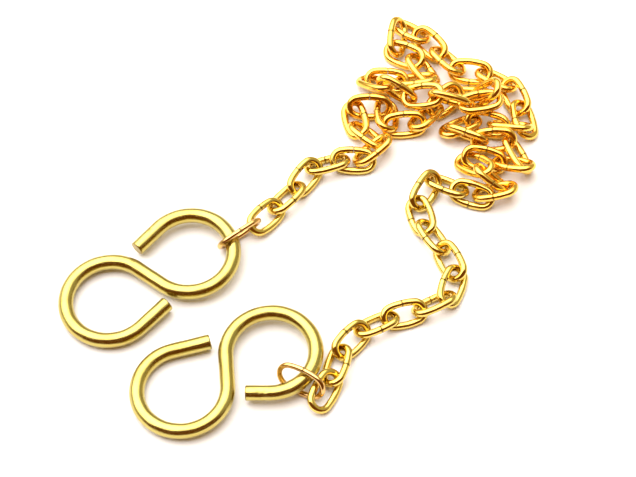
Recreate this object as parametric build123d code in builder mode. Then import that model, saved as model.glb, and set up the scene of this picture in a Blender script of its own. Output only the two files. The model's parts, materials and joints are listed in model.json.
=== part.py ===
from build123d import *
import os
from math import atan2, cos, degrees, pi, radians, sin, sqrt

import numpy as np

os.makedirs("parts", exist_ok=True)

# ---------------------------------------------------------------------------
# Driving dimensions (mm). +Z is up, the chain lies on the plane Z = 0 and the
# origin is the middle of the ground it covers.
# ---------------------------------------------------------------------------
HOOK_WIRE = 2.65         # round wire of the two S hooks
BOWL_RADIUS = 7.65       # centre line of a hook bowl
BOWL_OFFSET = 8.15       # middle of the hook to the centre of a bowl
HOOK_CHAMFER = 0.2       # broken edge on the square-cut hook ends

LINK_WIRE = 1.3          # round wire of the chain links
LINK_LENGTH = 8.6        # outside length of a link
LINK_WIDTH = 5.1         # outside width of a link
END_WIRE = 1.0           # thinner wire of the two end links
END_LENGTH = 9.2
END_WIDTH = 5.6          # leaves room for the hook wire inside
END_FULLNESS = 0.9       # radius of the rounded end of any link, as a share of half its width
SEAM_GAP = 0.07          # butt joint in the middle of one long side
SEAM_CHAMFER = 0.08

LINK_COUNT = 56
STRAND_PITCH = 5.5       # spacing of the links where the chain lies straight
STRAND_LINKS = (3, 12)   # so spaced at the left and right ends; the heap takes up the rest
LINK_ROLL = 42           # links lie rolled about this far either way, in turn
ROLL_CHANGE = 14         # and by up to so much more or less
END_ROLL = 62            # end links stand steeper to clear the hook wire
CLEARANCE = 0.16         # least space kept between two wires
CROSSING_GAP = 0.25      # more space where the chain crosses itself, so that the links can still rock

# Each hook: middle, heading of the bowl that carries the chain, which side up,
# (turn in degrees, straight tail) of the carrying bowl and of the free bowl.
HOOK_LEFT = ((-29.1, -8.9), 34, 1, (264, 5.5), (262, 6.4))
HOOK_RIGHT = ((-15.4, -27.2), 24.5, -1, (275, 4.1), (260, 6.6))

# End links: middle in plan, heading along the chain, roll.
END_LEFT = ((-13.5, -0.6), 38, -END_ROLL)
END_RIGHT = ((-3.0, -29.3), 148.5, -END_ROLL)

# The line the chain follows from the left hook to the right one, in plan, with
# the height of the layer it lies in: two loose strands and the heap between.
STRAND_LEFT = [
    (-10.9, 1.4, 2), (-7.7, 5.5, 2), (-3.2, 9.4, 2), (-0.9, 14.4, 2), (3.6, 15.2, 2),
    (7.8, 15.6, 2), (12.2, 17.2, 3),
]
HEAP = [
    (7.2, 21.0, 3), (6.8, 26.2, 3), (10.6, 28.8, 3), (13.4, 24.0, 3), (15.4, 21.2, 3),
    (18.2, 24.6, 3), (22.2, 26.8, 3), (26.0, 29.8, 4), (30.0, 30.4, 7), (32.4, 27.4, 9),
    (28.5, 26.0, 9), (23.6, 26.6, 9), (19.0, 28.4, 9), (14.4, 29.4, 8), (10.8, 29.8, 7),
    (9.4, 31.6, 5), (12.4, 33.4, 3), (16.6, 32.4, 3), (20.6, 33.2, 3),
    (18.8, 37.2, 3), (14.3, 38.9, 3), (15.2, 45.2, 3), (19.0, 44.2, 3), (21.4, 40.4, 3),
    (23.5, 36.0, 3), (28.5, 34.3, 3), (33.1, 33.5, 3), (37.0, 29.4, 3), (37.2, 25.0, 3),
    (36.6, 20.6, 3), (31.0, 22.5, 3), (26.0, 24.4, 3), (24.4, 22.0, 3), (29.2, 19.6, 3),
    (35.2, 18.0, 3), (35.8, 12.6, 3), (31.6, 16.4, 3), (27.6, 15.6, 3), (29.0, 11.4, 6),
]
STRAND_RIGHT = [
    (33.8, 9.6, 3), (29.6, 8.0, 2), (25.8, 9.0, 2), (21.2, 11.4, 2), (17.9, 7.5, 2),
    (18.1, 2.4, 2), (21.8, -3.0, 2), (24.2, -8.3, 2), (22.8, -13.1, 2), (17.9, -15.1, 2),
    (12.4, -16.8, 2), (7.9, -18.7, 2), (4.0, -22.9, 2), (2.2, -28.2, 2), (-0.3, -33.4, 2),
]

# Links whose butt joint is turned to the underside.
SEAM_BELOW = (4, 12, 17, 23, 29, 33, 38, 44, 47, 51)

# ---------------------------------------------------------------------------
# Centre lines
# ---------------------------------------------------------------------------
RING_POINTS = 36
LINK = (LINK_LENGTH, LINK_WIDTH, LINK_WIRE)
END = (END_LENGTH, END_WIDTH, END_WIRE)


def oval(size):
    """A link's centre line is four tangent arcs: rounded ends and gently bowed sides.
    Gives the radius and offset of the ends, then the radius and half turn (radians) of the sides."""
    length, width, wire = size
    half_length, half_width = (length - wire) / 2, (width - wire) / 2
    end = END_FULLNESS * half_width
    offset = half_length - end
    side = (offset**2 + half_width**2 - end**2) / (2 * (half_width - end))
    return end, offset, side, atan2(offset, side - half_width)


def ring_points(size, count=RING_POINTS):
    """Evenly spaced points on a link's centre line, long axis along X, in its own plane."""
    end, offset, side, lean = oval(size)
    across = (size[1] - size[2]) / 2
    side_arc, end_arc = 2 * lean * side, (pi - 2 * lean) * end
    points = []
    for at in np.arange(count) / count * 2 * (side_arc + end_arc):
        half, at = divmod(at, side_arc + end_arc)
        if at < side_arc:
            turn = pi / 2 + lean - at / side
            point = (side * cos(turn), across - side + side * sin(turn))
        else:
            turn = pi / 2 - lean - (at - side_arc) / end
            point = (offset + end * cos(turn), end * sin(turn))
        points.append((*(point if half == 0 else (-point[0], -point[1])), 0))
    return np.array(points)


def bowl_line(turn, tail, step=0.5):
    """Centre line of half a hook, from its middle round the bowl at +X to the tail tip."""
    lean = np.arccos(BOWL_RADIUS / BOWL_OFFSET)
    start = np.pi + lean
    cross = sqrt(BOWL_OFFSET**2 - BOWL_RADIUS**2)
    arc = start + np.linspace(0, radians(turn), int(radians(turn) * BOWL_RADIUS / step))
    round_bowl = np.stack([BOWL_OFFSET + BOWL_RADIUS * np.cos(arc), BOWL_RADIUS * np.sin(arc)], 1)
    along = np.array([-sin(arc[-1]), cos(arc[-1])])
    crossing = np.linspace(0, 1, int(cross / step) + 1)[:-1, None] * round_bowl[0]
    tip = round_bowl[-1] + np.linspace(0, tail, int(tail / step) + 1)[1:, None] * along
    return np.vstack([crossing, round_bowl, tip])


def unit(v):
    return v / np.linalg.norm(v)


def hook_frame(hook, end_link):
    """Origin and axes (columns) of a hook: flat but for the small lift where an end link passes under."""
    (x, y), heading, side, _, _ = hook
    along = np.array([cos(radians(heading)), sin(radians(heading))])
    across = np.array([-along[1], along[0]])
    middle = np.array([x, y])
    carrying, free = middle + BOWL_OFFSET * along, middle - BOWL_OFFSET * along
    under = carrying + BOWL_RADIUS * unit(np.array(end_link[0]) - carrying)
    rise = under - free
    slope = (end_height() - HOOK_WIRE / 2) / (np.linalg.norm(rise) + BOWL_RADIUS)
    rise = unit(rise)
    height = HOOK_WIRE / 2 + slope * (BOWL_RADIUS + (middle - free) @ rise)
    x_axis = unit(np.array([*along, slope * (along @ rise)]))
    z_axis = unit(np.cross(x_axis, [*across, slope * (across @ rise)]))
    y_axis = np.cross(z_axis, x_axis) * side
    return np.array([x, y, height]), np.column_stack([x_axis, y_axis, z_axis * side])


def hook_points(hook, frame):
    """Points on a hook's centre line, in space."""
    _, _, _, carrying, free = hook
    flat = np.vstack([bowl_line(*carrying), -bowl_line(*free)[1:]])
    origin, axes = frame
    return origin + np.column_stack([flat, np.zeros(len(flat))]) @ axes.T


def end_height():
    """Height of an end link's middle when its lower side rests on the ground."""
    return (END_WIDTH - END_WIRE) / 2 * sin(radians(END_ROLL)) + END_WIRE / 2


def ring_axes(along, roll):
    """Axes (columns) of a link: X along the chain, Y its width direction, rolled about X."""
    x_axis = unit(np.asarray(along, float))
    flat = unit(np.cross([0, 0, 1], x_axis))
    tilt = radians(abs(roll))
    y_axis = np.sign(roll) * cos(tilt) * flat + sin(tilt) * np.cross(x_axis, flat)
    return np.column_stack([x_axis, y_axis, np.cross(x_axis, y_axis)])


# ---------------------------------------------------------------------------
# Where the links start: strung along the route, each one held by the next
# ---------------------------------------------------------------------------
def smooth_route(waypoints):
    """A Catmull-Rom curve through the waypoints, as closely spaced points."""
    p = np.array(waypoints, float)
    p = np.vstack([2 * p[0] - p[1], p, 2 * p[-1] - p[-2]])
    t = np.linspace(0, 1, 40, endpoint=False)[:, None]
    curve = []
    for a, b, c, d in zip(p, p[1:], p[2:], p[3:]):
        curve.append(0.5 * (2 * b + (c - a) * t + (2 * a - 5 * b + 4 * c - d) * t**2
                            + (3 * b - a - 3 * c + d) * t**3))
    return np.vstack([*curve, p[-2]])


def string_along(curve):
    """Joints between links along the curve: evenly spaced in each strand, and evenly in the heap."""
    travelled = np.concatenate([[0], np.cumsum(np.linalg.norm(np.diff(curve, axis=0), axis=1))])
    first, last = STRAND_LINKS
    heap_start, heap_end = first * STRAND_PITCH, travelled[-1] - last * STRAND_PITCH
    stops = np.concatenate([
        np.arange(first) * STRAND_PITCH,
        np.linspace(heap_start, heap_end, LINK_COUNT - first - last + 1),
        travelled[-1] - np.arange(last)[::-1] * STRAND_PITCH,
    ])
    return np.column_stack([np.interp(stops, travelled, curve[:, k]) for k in range(3)])


def starting_links():
    """Middles and axes of all rings, end links first and last."""
    curve = smooth_route(STRAND_LEFT + HEAP + STRAND_RIGHT)
    joints = string_along(curve)
    middles, axes = [], []
    for number, (a, b) in enumerate(zip(joints, joints[1:])):
        middles.append((a + b) / 2)
        roll = LINK_ROLL + ROLL_CHANGE * sin(2.1 * number)
        axes.append(ring_axes(b - a, roll if number % 2 == 0 else -roll))
    for (place, heading, roll), where in ((END_LEFT, 0), (END_RIGHT, len(middles) + 1)):
        along = (cos(radians(heading)), sin(radians(heading)), 0)
        middles.insert(where, np.array([*place, end_height()]))
        axes.insert(where, ring_axes(along, roll))
    return np.array(middles), np.array(axes)


# ---------------------------------------------------------------------------
# Settling: the rings are lowered, and pushed apart wherever two wires touch
# ---------------------------------------------------------------------------
def turned(axes, spin):
    """Axes turned by small rotation vectors, one per ring."""
    angle = np.linalg.norm(spin, axis=1)
    k = spin / np.maximum(angle, 1e-12)[:, None]
    s, c = np.sin(angle)[:, None, None], np.cos(angle)[:, None, None]
    cross = np.zeros((len(spin), 3, 3))
    cross[:, 0, 1], cross[:, 0, 2], cross[:, 1, 2] = -k[:, 2], k[:, 1], -k[:, 0]
    cross[:, 1, 0], cross[:, 2, 0], cross[:, 2, 1] = k[:, 2], -k[:, 1], k[:, 0]
    return (np.eye(3) + s * cross + (1 - c) * (cross @ cross)) @ axes


def squared(axes):
    """The same axes made exactly square to each other again."""
    square, lengths = np.linalg.qr(axes)
    return square * np.sign(np.diag(lengths))


def settle(middles, axes, hooks, steps, fall, hold, space):
    """Move the rings: fall is the drop per step, hold pulls each back over its starting place."""
    count = len(middles)
    local = np.array([ring_points(END if i in (0, count - 1) else LINK) for i in range(count)])
    radius = np.array([(END_WIRE if i in (0, count - 1) else LINK_WIRE) / 2 for i in range(count)])
    home = middles.copy()
    for step in range(steps):
        points = middles[:, None] + local @ axes.transpose(0, 2, 1)
        if step % 10 == 0:
            apart = np.linalg.norm(middles[:, None] - middles[None], axis=2)
            first, second = np.nonzero(np.triu(apart < LINK_LENGTH + 1.2, 1))
            reach = radius[first] + radius[second] + space + CROSSING_GAP * (second - first > 1)
        push, spin, hits = np.zeros((count, 3)), np.zeros((count, 3)), np.zeros(count)

        def press(ring, at, shove):
            np.add.at(push, ring, shove)
            np.add.at(spin, ring, np.cross(at - middles[ring], shove))
            np.add.at(hits, ring, 1)

        a, b = points[first], points[second]
        square = (a**2).sum(2)[:, :, None] + (b**2).sum(2)[:, None] - 2 * a @ b.transpose(0, 2, 1)
        near = square.argmin(2)
        pair, on_a = np.nonzero(square.min(2) < (reach**2)[:, None])
        on_b = near[pair, on_a]
        pa, pb = a[pair, on_a], b[pair, on_b]
        gap = pa - pb
        size = np.maximum(np.linalg.norm(gap, axis=1), 1e-6)
        shove = gap / size[:, None] * np.maximum(reach[pair] - size, 0)[:, None] / 2
        press(first[pair], pa, shove)
        press(second[pair], pb, -shove)

        for hook in hooks:
            close = np.nonzero(np.linalg.norm(middles[:, None] - hook[None], axis=2).min(1) < LINK_LENGTH)[0]
            between = points[close][:, :, None] - hook[None, None]
            distance = np.linalg.norm(between, axis=3)
            closest = distance.argmin(2)
            want = radius[close][:, None] + HOOK_WIRE / 2 + space
            i, k = np.nonzero(distance.min(2) < want)
            gap = between[i, k, closest[i, k]]
            size = np.linalg.norm(gap, axis=1)
            press(close[i], points[close[i], k],
                  gap / size[:, None] * (want[i, 0] - size)[:, None])

        ring, k = np.nonzero(points[:, :, 2] < radius[:, None])
        press(ring, points[ring, k],
              np.column_stack([0 * ring, 0 * ring, radius[ring] - points[ring, k, 2]]))

        share = 1 / np.maximum(hits, 1)[:, None]
        move = 1.6 * push * share
        move[:, 2] -= fall
        move[:, :2] += hold * (home - middles)[:, :2]
        twist = 1.6 * spin * share / 5.0
        for change, most in ((move, 0.12), (twist, 0.03)):
            change *= np.minimum(1, most / np.maximum(np.linalg.norm(change, axis=1), 1e-9))[:, None]
        middles = middles + move
        axes = turned(axes, twist)
    return middles, np.array([squared(x) for x in axes])


def lay_chain():
    """Final places of hooks and rings, over the origin."""
    frames = [hook_frame(HOOK_LEFT, END_LEFT), hook_frame(HOOK_RIGHT, END_RIGHT)]
    hooks = [hook_points(HOOK_LEFT, frames[0]), hook_points(HOOK_RIGHT, frames[1])]
    middles, axes = starting_links()
    middles, axes = settle(middles, axes, hooks, 500, 0.012, 0.02, CLEARANCE)
    middles, axes = settle(middles, axes, hooks, 700, 0.004, 0.004, CLEARANCE + 0.04)
    middles, axes = settle(middles, axes, hooks, 500, 0.0, 0.0, CLEARANCE + 0.04)
    rings = [middles[i] + ring_points(END if i in (0, len(middles) - 1) else LINK, 180) @ axes[i].T
             for i in range(len(middles))]
    edges = [(p, LINK_WIRE / 2) for p in rings] + [(p, HOOK_WIRE / 2) for p in hooks]
    low = np.min([p.min(0) - r for p, r in edges], axis=0)
    high = np.max([p.max(0) + r for p, r in edges], axis=0)
    shift = np.array([-(low[0] + high[0]) / 2, -(low[1] + high[1]) / 2, 0])
    return [(o + shift, a) for o, a in frames], middles + shift, axes


def plane_of(origin, axes):
    return Plane(origin=tuple(origin), x_dir=tuple(axes[:, 0]), z_dir=tuple(axes[:, 2]))


# ---------------------------------------------------------------------------
# The pieces
# ---------------------------------------------------------------------------
def make_ring(name, plane, size, seam_side):
    """A link: a piece of round wire bent to an oval, its cut ends meeting on one long side."""
    end, offset, side, lean = oval(size)
    length, width, wire = size
    centre = seam_side * ((width - wire) / 2 - side)
    half_side = degrees(lean)
    half_gap = degrees(SEAM_GAP / 2 / side)
    with BuildPart() as ring:
        with BuildLine(plane) as path:
            CenterArc((0, centre), side, seam_side * (90 - half_gap), -seam_side * (half_side - half_gap))
            CenterArc((offset, 0), end, seam_side * (90 - half_side), -seam_side * (180 - 2 * half_side))
            CenterArc((0, -centre), side, -seam_side * (90 - half_side), -seam_side * 2 * half_side)
            CenterArc((-offset, 0), end, -seam_side * (90 + half_side), -seam_side * (180 - 2 * half_side))
            CenterArc((0, centre), side, seam_side * (90 + half_side), -seam_side * (half_side - half_gap))
        with BuildSketch(Plane(origin=path.line @ 0, z_dir=path.line % 0)):
            Circle(wire / 2)
        sweep()
        chamfer(ring.faces().filter_by(GeomType.PLANE).edges(), SEAM_CHAMFER)
    ring.part.label = name
    export_step(ring.part, f"parts/{name}.step")


def make_hook(name, plane, hook):
    """An S hook: one length of thick round wire, a bowl each way and a straight tail on both."""
    _, _, _, carrying, free = hook
    lean = np.degrees(np.arccos(BOWL_RADIUS / BOWL_OFFSET))
    with BuildPart() as body:
        with BuildLine(plane) as path:
            right = CenterArc((BOWL_OFFSET, 0), BOWL_RADIUS, 180 + lean, carrying[0])
            left = CenterArc((-BOWL_OFFSET, 0), BOWL_RADIUS, lean, free[0])
            Line(right @ 0, left @ 0)
            PolarLine(right @ 1, carrying[1], direction=right % 1)
            PolarLine(left @ 1, free[1], direction=left % 1)
        with BuildSketch(Plane(origin=path.line @ 0, z_dir=path.line % 0)):
            Circle(HOOK_WIRE / 2)
        sweep()
        chamfer(body.faces().filter_by(GeomType.PLANE).edges(), HOOK_CHAMFER)
    body.part.label = name
    export_step(body.part, f"parts/{name}.step")


if __name__ == "__main__":
    hook_places, ring_middles, ring_frames = lay_chain()
    make_hook("hook_left", plane_of(*hook_places[0]), HOOK_LEFT)
    make_hook("hook_right", plane_of(*hook_places[1]), HOOK_RIGHT)
    make_ring("end_link_left", plane_of(ring_middles[0], ring_frames[0]), END, 1)
    make_ring("end_link_right", plane_of(ring_middles[-1], ring_frames[-1]), END, 1)
    for number in range(1, LINK_COUNT + 1):
        make_ring(f"link_{number:02d}", plane_of(ring_middles[number], ring_frames[number]), LINK,
                  -1 if number in SEAM_BELOW else 1)
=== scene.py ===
import json
from math import acos, atan2, cos, pi, radians, sin, sqrt

import bpy
import numpy as np
from mathutils import Matrix, Vector


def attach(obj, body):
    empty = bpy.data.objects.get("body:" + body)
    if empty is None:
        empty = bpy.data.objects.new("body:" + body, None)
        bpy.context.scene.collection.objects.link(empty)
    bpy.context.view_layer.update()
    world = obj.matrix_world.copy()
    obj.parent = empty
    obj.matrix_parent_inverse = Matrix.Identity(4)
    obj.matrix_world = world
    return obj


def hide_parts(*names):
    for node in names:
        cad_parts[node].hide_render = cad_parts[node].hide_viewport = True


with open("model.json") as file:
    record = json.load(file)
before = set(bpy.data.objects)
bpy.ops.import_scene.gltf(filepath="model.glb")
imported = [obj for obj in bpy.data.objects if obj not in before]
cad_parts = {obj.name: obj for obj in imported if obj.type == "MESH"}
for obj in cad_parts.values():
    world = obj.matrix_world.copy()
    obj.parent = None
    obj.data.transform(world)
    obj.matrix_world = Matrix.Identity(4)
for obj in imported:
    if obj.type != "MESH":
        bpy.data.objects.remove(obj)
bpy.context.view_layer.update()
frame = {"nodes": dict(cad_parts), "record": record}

MM = 0.001
rng = np.random.default_rng(11)

# ---------------------------------------------------------------------------
# Sizes of the wire work, in millimetres. The bends and the wires are those of the CAD nodes, the
# seam is a little narrower, and the edges of the cut ends are rounded instead of broken.
# ---------------------------------------------------------------------------
HOOK_WIRE = 2.65
BOWL_RADIUS = 7.65
BOWL_OFFSET = 8.15
HOOK_CUT_EDGE = 0.22
# (turn in degrees, straight tail) of the bowl that carries the chain and of the free bowl
HOOK_BENDS = {"hook_left": ((264, 5.5), (262, 6.4)), "hook_right": ((275, 4.1), (260, 6.6))}
SEAM_GAP = 0.05
# length, width and wire of a link
LINK_SIZE = (8.6, 5.1, 1.3)
END_SIZE = (9.2, 5.6, 1.0)
# radius of a link's end, as a share of half its width
END_FULLNESS = 0.9
LINK_CUT_EDGE = 0.06

# how fine the meshes are: steps along the wire, sides round it, steps over a cut's rounded edge,
# and the narrowing rings on a cut face, as shares of its radius
LINK_STEP, HOOK_STEP = 0.16, 0.2
LINK_SIDES, HOOK_SIDES = 28, 56
EDGE_STEPS = 4
CUT_FACE_RINGS = (0.66, 0.33)


# ---------------------------------------------------------------------------
# Wire: a round section swept along a line, with its own coordinates for the materials
# ---------------------------------------------------------------------------
def frames_along(line):
    """Tangent, and two directions across, at each point of a line that lies near the XY plane."""
    ahead = np.gradient(line, axis=0)
    ahead /= np.linalg.norm(ahead, axis=1)[:, None]
    across = np.cross((0, 0, 1), ahead)
    across /= np.linalg.norm(across, axis=1)[:, None]
    return ahead, across, np.cross(ahead, across)


def wire_mesh(name, line, radius, cut_edge, shape, sides):
    """A length of round wire with square-cut, slightly rounded ends. shape changes the radius
    by length along and angle round. Attribute wire holds (length, cos, sin) at each vertex, and
    cut holds how near it is to a cut end."""
    travelled = np.concatenate([[0], np.cumsum(np.linalg.norm(np.diff(line, axis=0), axis=1))])
    total = travelled[-1]
    ahead, across, over = frames_along(line)
    turn = np.linspace(0, 2 * pi, sides, endpoint=False)
    rings, lengths, depth = [], [], []

    def ring(at, shrink, index):
        r = (radius - shrink + shape(at, turn))[:, None]
        section = np.cos(turn)[:, None] * across[index] + np.sin(turn)[:, None] * over[index]
        rings.append(line[index] + r * section)
        lengths.append(np.full(sides, at))
        depth.append(np.full(sides, min(at, total - at)))

    inner = [i for i, at in enumerate(travelled) if cut_edge < at < total - cut_edge]
    for k in range(EDGE_STEPS + 1):
        a = k / EDGE_STEPS * pi / 2
        at = cut_edge * (1 - cos(a))
        ring(at, cut_edge * (1 - sin(a)), 0)
        rings[-1] += ahead[0] * at
    for i in inner:
        ring(travelled[i], 0, i)
    for k in range(EDGE_STEPS, -1, -1):
        a = k / EDGE_STEPS * pi / 2
        at = cut_edge * (1 - cos(a))
        ring(total - at, cut_edge * (1 - sin(a)), len(line) - 1)
        rings[-1] -= ahead[-1] * at
    count = len(rings)
    points = np.vstack(rings)
    faces = []
    for i in range(count - 1):
        for j in range(sides):
            k = (j + 1) % sides
            faces.append((i * sides + j, i * sides + k, (i + 1) * sides + k, (i + 1) * sides + j))
    # each cut face is closed by narrowing rings and a middle point
    extra, marks = [], []
    for end, base in ((0, 0), (1, (count - 1) * sides)):
        middle = rings[0].mean(0) if end == 0 else rings[-1].mean(0)
        outer = list(range(base, base + sides))
        for share in CUT_FACE_RINGS:
            start = len(points) + len(extra)
            extra.extend(middle + share * (points[base:base + sides] - middle))
            marks += [0.0 if end == 0 else total] * sides
            new = list(range(start, start + sides))
            for j in range(sides):
                k = (j + 1) % sides
                quad = (outer[j], new[j], new[k], outer[k])
                faces.append(quad if end == 0 else quad[::-1])
            outer = new
        extra.append(middle)
        marks.append(0.0 if end == 0 else total)
        tip = len(points) + len(extra) - 1
        for j in range(sides):
            k = (j + 1) % sides
            tri = (outer[j], tip, outer[k])
            faces.append(tri if end == 0 else tri[::-1])
    points = np.vstack([points, np.array(extra)])
    mesh = bpy.data.meshes.new(name)
    mesh.from_pydata((points * MM).tolist(), [], [f[::-1] for f in faces])
    mesh.polygons.foreach_set("use_smooth", [True] * len(mesh.polygons))
    around = np.concatenate([np.tile(turn, count), np.zeros(len(extra))])
    along = np.concatenate([*lengths, marks])
    wire = mesh.attributes.new("wire", "FLOAT_VECTOR", "POINT")
    coordinates = np.column_stack([along, np.cos(around), np.sin(around)])
    wire.data.foreach_set("vector", coordinates.astype(np.float32).ravel())
    cut = mesh.attributes.new("cut", "FLOAT", "POINT")
    depths = np.concatenate([*depth, np.zeros(len(extra))])
    cut.data.foreach_set("value", depths.astype(np.float32))
    mesh.update()
    return mesh


def oval_line(size):
    """Centre line of a link from one side of its seam round to the other, seam at +Y: four
    tangent arcs, two round the ends and two gently bowed sides."""
    length, width, wire = size
    half_length, half_width = (length - wire) / 2, (width - wire) / 2
    end = END_FULLNESS * half_width
    offset = half_length - end
    side = (offset**2 + half_width**2 - end**2) / (2 * (half_width - end))
    lean = atan2(offset, side - half_width)
    gap = SEAM_GAP / 2 / side

    def arc(centre, radius, start, stop):
        turn = np.linspace(start, stop, int(abs(stop - start) * radius / LINK_STEP) + 2)
        return np.column_stack([centre[0] + radius * np.cos(turn), centre[1] + radius * np.sin(turn)])

    top, low = (0, half_width - side), (0, side - half_width)
    parts = [
        arc(top, side, pi / 2 - gap, pi / 2 - lean),
        arc((offset, 0), end, pi / 2 - lean, lean - pi / 2)[1:],
        arc(low, side, lean - pi / 2, -lean - pi / 2)[1:],
        arc((-offset, 0), end, -lean - pi / 2, lean - 3 * pi / 2)[1:],
        arc(top, side, lean + pi / 2, gap + pi / 2)[1:],
    ]
    flat = np.vstack(parts)
    return np.column_stack([flat, np.zeros(len(flat))])


def hook_line(bends):
    """Centre line of a hook from the carrying tail's tip to the free tail's tip."""
    lean = acos(BOWL_RADIUS / BOWL_OFFSET)
    crossing = sqrt(BOWL_OFFSET**2 - BOWL_RADIUS**2)

    def half(turn, tail):
        steps = int(radians(turn) * BOWL_RADIUS / HOOK_STEP)
        arc = pi + lean + np.linspace(0, radians(turn), steps)
        bowl = np.column_stack([BOWL_OFFSET + BOWL_RADIUS * np.cos(arc), BOWL_RADIUS * np.sin(arc)])
        way = np.array([-sin(arc[-1]), cos(arc[-1])])
        tip = bowl[-1] + np.linspace(0, tail, int(tail / HOOK_STEP) + 1)[1:, None] * way
        cross = np.linspace(0, 1, int(crossing / HOOK_STEP) + 1)[:-1, None] * bowl[0]
        return np.vstack([cross, bowl, tip])

    carrying, free = half(*bends[0]), -half(*bends[1])
    flat = np.vstack([carrying[::-1], free[1:]])
    return np.column_stack([flat, np.zeros(len(flat))])


# ---------------------------------------------------------------------------
# Where each CAD node lies
# ---------------------------------------------------------------------------
SLIVER_AREA = 1e-9
# a cut face looks along the link to this cosine, and lies this near its middle
CUT_FACE_COSINE, CUT_FACE_REACH = 0.9, 0.5


def surface(node):
    """Middles, areas and normals of a node's triangles, in millimetres."""
    mesh = frame["nodes"][node].data
    mesh.calc_loop_triangles()
    points = np.zeros(len(mesh.vertices) * 3)
    mesh.vertices.foreach_get("co", points)
    corners = np.zeros(len(mesh.loop_triangles) * 3, int)
    mesh.loop_triangles.foreach_get("vertices", corners)
    a, b, c = (points.reshape(-1, 3) / MM)[corners.reshape(-1, 3).T]
    square = np.cross(b - a, c - a)
    area = np.linalg.norm(square, axis=1) / 2
    keep = area > SLIVER_AREA
    return (a + b + c)[keep] / 3, area[keep], square[keep] / area[keep, None] / 2


def link_place(node):
    """Middle and axes (columns: along, towards the seam, across) of a link's CAD node."""
    middles, area, normals = surface(node)
    centre = area @ middles / area.sum()
    spread = (middles - centre).T @ ((middles - centre) * area[:, None])
    _, axes = np.linalg.eigh(spread)
    along, across = axes[:, 2], axes[:, 1]
    # the cut faces are the only ones that look along the link near its middle
    near = np.abs((middles - centre) @ along) < CUT_FACE_REACH
    cut = (np.abs(normals @ along) > CUT_FACE_COSINE) & near
    if ((middles - centre)[cut] @ across).mean() < 0:
        across = -across
    return centre, np.column_stack([along, across, np.cross(along, across)])


def hook_place(node):
    """Middle and axes of a hook's CAD node, from its two bowls as the record's mounts give them.
    The right hook is turned over."""
    mounts = {m["name"]: m for m in frame["record"]["mounts"]}
    free, carrying = mounts[f"{node}_free_bowl"], mounts[f"{node}_chain_bowl"]
    free_at, carrying_at = np.array(free["pos_m"]) / MM, np.array(carrying["pos_m"]) / MM
    along = carrying_at - free_at
    along /= np.linalg.norm(along)
    face = np.array(free["axis"], float)
    face = face * (1 if node == "hook_left" else -1)
    face -= (face @ along) * along
    face /= np.linalg.norm(face)
    return (free_at + carrying_at) / 2, np.column_stack([along, np.cross(face, along), face])


# ---------------------------------------------------------------------------
# Materials
# ---------------------------------------------------------------------------
class Nodes:
    """Short hand for building a node tree."""

    def __init__(self, tree):
        self.tree = tree
        tree.nodes.clear()

    def add(self, kind, inputs=None, **settings):
        node = self.tree.nodes.new(kind)
        for key, value in settings.items():
            setattr(node, key, value)
        for key, value in (inputs or {}).items():
            self.feed(node.inputs[key], value)
        return node

    def feed(self, socket, value):
        if isinstance(value, bpy.types.NodeSocket):
            self.tree.links.new(value, socket)
        else:
            socket.default_value = value

    def maths(self, operation, a, b):
        return self.add("ShaderNodeMath", {0: a, 1: b}, operation=operation).outputs[0]

    def ramp(self, value, low, high, to_low=0.0, to_high=1.0):
        inputs = {"Value": value, "From Min": low, "From Max": high, "To Min": to_low, "To Max": to_high}
        return self.add("ShaderNodeMapRange", inputs, interpolation_type="SMOOTHSTEP").outputs[0]

    def mix(self, share, a, b):
        node = self.add("ShaderNodeMix", data_type="RGBA")
        self.feed(node.inputs[0], share)
        self.feed(node.inputs[6], a)
        self.feed(node.inputs[7], b)
        return node.outputs[2]

    def noise(self, vector, scale, detail, roughness):
        inputs = {"Vector": vector, "Scale": scale, "Detail": detail, "Roughness": roughness}
        return self.add("ShaderNodeTexNoise", inputs).outputs["Fac"]

    def scaled(self, vector, by):
        return self.add("ShaderNodeVectorMath", {0: vector, 1: by}, operation="MULTIPLY").outputs[0]


# how the wire's (length, cos, sin) is stretched for each kind of mark: drawing lines and finer
# lines run far along the wire, scratches run a little way round it
LINES_STRETCH = (0.03, 3.0, 3.0)
FINE_STRETCH = (0.06, 9.0, 9.0)
SCRATCH_STRETCH = (3.2, 0.5, 0.7)
# scale, detail and roughness of each noise
LINES_NOISE = (4.0, 6.0, 0.62)
FINE_NOISE = (6.0, 4.0, 0.6)
SCRATCH_NOISE = (5.0, 2.0, 0.5)
BLOTCH_NOISE = (260.0, 3.0, 0.55)
PIT_NOISE = (2400.0, 2.0, 0.5)
# between which values of its noise each mark comes in; scratches keep to some of the blotches
LINES_RANGE = (0.42, 0.7)
FINE_RANGE = (0.3, 0.75)
SCRATCH_RANGE = (0.49, 0.505)
SCRATCHED_RANGE = (0.52, 0.62)
WARM_RANGE = (0.35, 0.68)
PIT_RANGE = (0.66, 0.76)
# the cut end's darkness fades over these distances from it, in millimetres
CUT_RANGE = (0.02, 0.30)
# colour: a line's shade of the warm brass, how much of a pit's colour shows, and the dark colours
LINE_SHADE = 0.72
PIT_SHARE = 0.35
PIT_COLOUR = (0.20, 0.08, 0.02, 1)
CUT_COLOUR = (0.16, 0.06, 0.015, 1)
# roughness that pits and cut ends add
PIT_ROUGH = 0.15
CUT_ROUGH = 0.25
# height or depth of each mark in the bump
LINES_HEIGHT = 0.7
FINE_HEIGHT = 0.25
BLOTCH_HEIGHT = 0.8
PIT_DEPTH = 0.5
SCRATCH_DEPTH = 0.25
BUMP_STRENGTH = 0.35
BUMP_DISTANCE = 0.03 * MM


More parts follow.
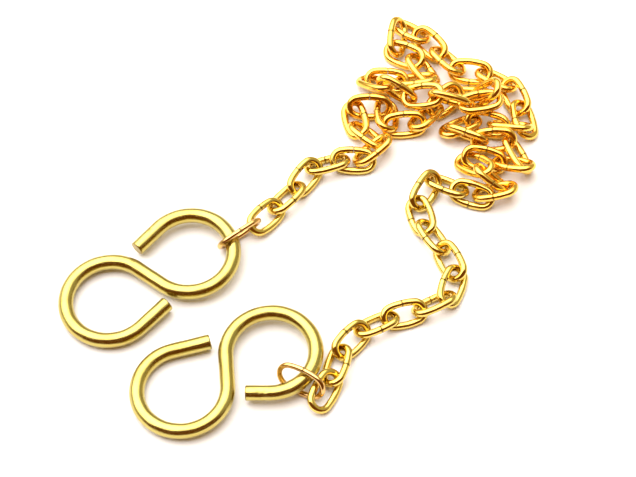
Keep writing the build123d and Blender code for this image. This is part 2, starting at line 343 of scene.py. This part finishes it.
def wire_brass(name, colour, warm, rough, drawn, end_darkness):
    """Polished wire: lines from the drawing die along it, soft colour change, small pits and
    scratches, and cut ends painted darker, which draws a dark line across each link's seam.
    drawn is the strength of the lines, and the last argument is how dark the cut ends are painted."""
    material = bpy.data.materials.new(name)
    material.use_nodes = True
    n = Nodes(material.node_tree)
    wire = n.add("ShaderNodeAttribute", attribute_name="wire").outputs["Vector"]
    cut = n.add("ShaderNodeAttribute", attribute_name="cut").outputs["Fac"]
    place = n.add("ShaderNodeTexCoord").outputs["Object"]

    lines = n.noise(n.scaled(wire, LINES_STRETCH), *LINES_NOISE)
    fine = n.noise(n.scaled(wire, FINE_STRETCH), *FINE_NOISE)
    blotch = n.noise(place, *BLOTCH_NOISE)
    pits = n.ramp(n.noise(place, *PIT_NOISE), *PIT_RANGE)
    scratch = n.ramp(n.noise(n.scaled(wire, SCRATCH_STRETCH), *SCRATCH_NOISE), *SCRATCH_RANGE)
    scratch = n.maths("MULTIPLY", scratch, n.ramp(blotch, *SCRATCHED_RANGE))
    # the cut ends are painted darker over a short way from each cut; at a link's seam this draws a dark
    # line across the wire
    end = n.ramp(cut, *CUT_RANGE, end_darkness, 0.0)

    line_share = n.maths("MULTIPLY", n.ramp(lines, *LINES_RANGE), 0.25 * drawn + 0.05)
    base = n.mix(n.ramp(blotch, *WARM_RANGE), (*colour, 1), (*warm, 1))
    base = n.mix(line_share, base, (*[LINE_SHADE * c for c in warm], 1))
    base = n.mix(n.maths("MULTIPLY", pits, PIT_SHARE), base, PIT_COLOUR)
    base = n.mix(end, base, CUT_COLOUR)

    fine_rough = n.maths("MULTIPLY", n.ramp(fine, *FINE_RANGE), 0.10 * drawn + 0.03)
    roughness = n.maths("ADD", rough, fine_rough)
    roughness = n.maths("ADD", roughness, n.maths("MULTIPLY", pits, PIT_ROUGH))
    roughness = n.maths("ADD", roughness, n.maths("MULTIPLY", end, CUT_ROUGH))

    height = n.maths("MULTIPLY", lines, LINES_HEIGHT * drawn)
    height = n.maths("ADD", height, n.maths("MULTIPLY", fine, FINE_HEIGHT * drawn))
    height = n.maths("SUBTRACT", height, n.maths("MULTIPLY", pits, PIT_DEPTH))
    height = n.maths("SUBTRACT", height, n.maths("MULTIPLY", scratch, SCRATCH_DEPTH))
    height = n.maths("ADD", height, n.maths("MULTIPLY", blotch, BLOTCH_HEIGHT))
    bump = n.add("ShaderNodeBump", {
        "Strength": BUMP_STRENGTH, "Distance": BUMP_DISTANCE, "Height": height,
    }).outputs[0]

    shader = n.add("ShaderNodeBsdfPrincipled", {
        "Base Color": base, "Metallic": 1.0, "Roughness": roughness, "Normal": bump, "IOR": 1.45,
    })
    n.add("ShaderNodeOutputMaterial", {"Surface": shader.outputs[0]})
    return material


hook_brass = wire_brass(
    "hook_brass", (0.55, 0.455, 0.13), (0.53, 0.415, 0.105), rough=0.10, drawn=1.9, end_darkness=0.45)
# the next two materials are copies of one link brass: the first for the heap, the second darker and
# yellower for the two strands outside it, painted shade for how the light falls on the strands
link_brass = wire_brass(
    "link_brass", (0.90, 0.59, 0.112), (0.88, 0.515, 0.085), rough=0.05, drawn=0.45, end_darkness=0.6)
strand_brass_painted_shade = wire_brass(
    "strand_brass_painted_shade", (0.75, 0.56, 0.135), (0.74, 0.51, 0.11), rough=0.05, drawn=0.45, end_darkness=0.6)
end_brass = wire_brass(
    "end_brass", (0.72, 0.47, 0.17), (0.68, 0.40, 0.13), rough=0.10, drawn=0.6, end_darkness=0.6)


# ---------------------------------------------------------------------------
# Hooks, end links and chain links, each over its CAD node and riding on its body
# ---------------------------------------------------------------------------
def place_wire(node, mesh, middle, axes, material):
    """Puts the mesh where the CAD node lies, in its body."""
    piece = bpy.data.objects.new(f"{node}_wire", mesh)
    bpy.context.collection.objects.link(piece)
    matrix = Matrix(axes.tolist()).to_4x4()
    matrix.translation = Vector((middle * MM).tolist())
    mesh.transform(matrix)
    mesh.materials.append(material)
    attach(piece, node)
    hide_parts(node)


# how far the two cut ends of a link stand out of line, up and sideways, over how many points
SEAM_LIFT = (-0.035, 0.035)
SEAM_SPLAY = (-0.03, 0.02)
SEAM_REACH = 14


def uneven_link(line):
    """A link's centre line with its two ends a hair out of line at the seam."""
    lift, splay = rng.uniform(*SEAM_LIFT, 2), rng.uniform(*SEAM_SPLAY, 2)
    fade = (1 - np.arange(SEAM_REACH) / SEAM_REACH) ** 2
    for end in (0, 1):
        index = np.arange(SEAM_REACH) if end == 0 else len(line) - 1 - np.arange(SEAM_REACH)
        line[index, 2] += lift[end] * fade
        line[index, 1] += splay[end] * fade
    return line


LINK_UNEVEN = 0.008


def link_shape(wire):
    """Small changes of the wire's radius along a link, from bending and polishing."""
    phase = rng.uniform(0, 2 * pi, 4)
    size = LINK_UNEVEN * wire

    def shape(at, turn):
        return size * (np.sin(0.9 * at + phase[0]) * np.cos(2 * turn + phase[1])
                       + 0.6 * np.sin(2.3 * at + phase[2]) * np.cos(3 * turn + phase[3]))

    return shape


# the links that lie in the heap; those of the two strands outside it get a darker, yellower copy of the
# same brass, painted shade for how the light falls on the strands
HEAP_LINKS = range(6, 44)

for node in frame["nodes"]:
    if node.startswith("hook"):
        continue
    middle, axes = link_place(node)
    end = node.startswith("end")
    size = END_SIZE if end else LINK_SIZE
    line = uneven_link(oval_line(size))
    mesh = wire_mesh(node, line, size[2] / 2, LINK_CUT_EDGE, link_shape(size[2]), LINK_SIDES)
    brass = end_brass if end else link_brass if int(node[-2:]) in HEAP_LINKS else strand_brass_painted_shade
    place_wire(node, mesh, middle, axes, brass)

# marks that the bending tool pressed into each hook: (length along from the carrying tip, angle
# round, depth, size). A mark is longer round the wire than along it.
HOOK_MARKS = {
    "hook_left": (
        (21.5, -1.2, 0.10, 0.55), (30.0, -0.9, 0.06, 0.5), (47.5, 1.9, 0.07, 0.4),
        (66.0, -1.3, 0.08, 0.6), (71.0, -1.1, 0.09, 0.35), (4.2, 1.3, 0.07, 0.3),
    ),
    "hook_right": (
        (2.4, -1.2, 0.13, 0.5), (3.4, -1.25, 0.10, 0.35), (7.5, -1.4, 0.07, 0.8),
        (33.0, 1.4, 0.08, 0.5), (53.0, 1.2, 0.10, 0.6), (60.0, 1.5, 0.06, 0.5),
    ),
}
MARK_STRETCH = 1.3
# how far a hook's wire is out of round, in two waves, and out of flat
HOOK_UNEVEN, HOOK_RIPPLE = 0.012, 0.008
HOOK_WARP = 0.05


def hook_shape(node):
    """Dents of the bending tool and the slight flats left by it."""
    phase = rng.uniform(0, 2 * pi, 5)

    def shape(at, turn):
        wave = HOOK_UNEVEN * np.sin(0.55 * at + phase[0]) * np.cos(2 * turn + phase[1])
        wave += HOOK_RIPPLE * np.sin(1.7 * at + phase[2]) * np.cos(3 * turn + phase[3])
        for along, angle, depth, size in HOOK_MARKS[node]:
            off = np.abs((turn - angle + pi) % (2 * pi) - pi) * HOOK_WIRE / 2
            spread = ((at - along) / size) ** 2 + (off / (MARK_STRETCH * size)) ** 2
            wave = wave - depth * np.exp(-spread)
        return wave

    return shape


for node, bends in HOOK_BENDS.items():
    middle, axes = hook_place(node)
    line = hook_line(bends)
    travelled = np.linspace(0, 1, len(line))
    line[:, 2] += HOOK_WARP * np.sin(9 * travelled + rng.uniform(0, 6))
    mesh = wire_mesh(node, line, HOOK_WIRE / 2, HOOK_CUT_EDGE, hook_shape(node), HOOK_SIDES)
    place_wire(node, mesh, middle, axes, hook_brass)


# ---------------------------------------------------------------------------
# Floor, light and camera
# ---------------------------------------------------------------------------
FLOOR_SIZE = 3.0
PAPER_DARK, PAPER_LIGHT = (0.93, 0.915, 0.935, 1), (0.95, 0.935, 0.955, 1)
PAPER_NOISE = (900.0, 4.0, 0.6)
PAPER_RANGE = (0.3, 0.7)
PAPER_ROUGH, PAPER_SPECULAR = 0.9, 0.1
floor_mesh = bpy.data.meshes.new("floor")
half = FLOOR_SIZE / 2
corners = [(-half, -half, 0), (half, -half, 0), (half, half, 0), (-half, half, 0)]
floor_mesh.from_pydata(corners, [], [(0, 1, 2, 3)])
floor = bpy.data.objects.new("floor", floor_mesh)
bpy.context.collection.objects.link(floor)
paper = bpy.data.materials.new("paper")
paper.use_nodes = True
n = Nodes(paper.node_tree)
grain = n.noise(n.add("ShaderNodeTexCoord").outputs["Object"], *PAPER_NOISE)
tone = n.mix(n.ramp(grain, *PAPER_RANGE), PAPER_DARK, PAPER_LIGHT)
paper_shader = n.add("ShaderNodeBsdfPrincipled", {
    "Base Color": tone, "Roughness": PAPER_ROUGH, "Specular IOR Level": PAPER_SPECULAR,
})
n.add("ShaderNodeOutputMaterial", {"Surface": paper_shader.outputs[0]})
floor_mesh.materials.append(paper)

# a wide soft light overhead, towards the back left, in a dim warm room that is dark in front.
# The light fades between two angles from its middle and is cut off towards the front.
LIGHT_POWER = 4.5
LIGHT_COLOUR = (1.0, 0.985, 0.955)
LIGHT_WAY = Vector((-0.30, 0.25, 0.92)).normalized()
LIGHT_OUTER, LIGHT_INNER = radians(57), radians(20)
FRONT_CUT = (0.24, 0.36)
ROOM_COLOUR, FRONT_COLOUR = (0.60, 0.54, 0.37, 1), (0.21, 0.072, 0.007, 1)
ROOM_FADE = (0.10, 0.34)
world = bpy.data.worlds.new("studio")
bpy.context.scene.world = world
world.use_nodes = True
n = Nodes(world.node_tree)
way = n.add("ShaderNodeTexCoord").outputs["Generated"]
towards = n.add("ShaderNodeVectorMath", {0: way, 1: tuple(LIGHT_WAY)}, operation="DOT_PRODUCT")
front = n.maths("MULTIPLY", n.add("ShaderNodeSeparateXYZ", {0: way}).outputs["Y"], -1.0)
lamp = n.ramp(towards.outputs["Value"], cos(LIGHT_OUTER), cos(LIGHT_INNER))
light = n.maths("MULTIPLY", lamp, n.ramp(front, *FRONT_CUT, 1.0, 0.0))
room = n.mix(n.ramp(front, *ROOM_FADE), ROOM_COLOUR, FRONT_COLOUR)
sky = n.mix(light, room, (*[LIGHT_POWER * c for c in LIGHT_COLOUR], 1))
background = n.add("ShaderNodeBackground", {"Color": sky, "Strength": 1.0})
n.add("ShaderNodeOutputWorld", {"Surface": background.outputs[0]})

# the camera looks down at the floor between the hooks and the heap
CAMERA_ELEVATION = radians(59.17)
CAMERA_DISTANCE = 348.24
CAMERA_AIM = Vector((2.318, -4.066, 0.0))
IMAGE_WIDTH = 636
FOCAL_PIXELS = 1971.77
SENSOR_WIDTH = 36.0
NEAR_CLIP = 0.01
camera_data = bpy.data.cameras.new("camera")
camera_data.sensor_width = SENSOR_WIDTH
camera_data.lens = FOCAL_PIXELS / IMAGE_WIDTH * SENSOR_WIDTH
camera_data.clip_start = NEAR_CLIP
camera = bpy.data.objects.new("camera", camera_data)
bpy.context.collection.objects.link(camera)
back = Vector((0, -cos(CAMERA_ELEVATION), sin(CAMERA_ELEVATION)))
camera.location = (CAMERA_AIM + CAMERA_DISTANCE * back) * MM
camera.rotation_euler = (pi / 2 - CAMERA_ELEVATION, 0, 0)
bpy.context.scene.camera = camera
bpy.context.scene.view_settings.view_transform = "Standard"
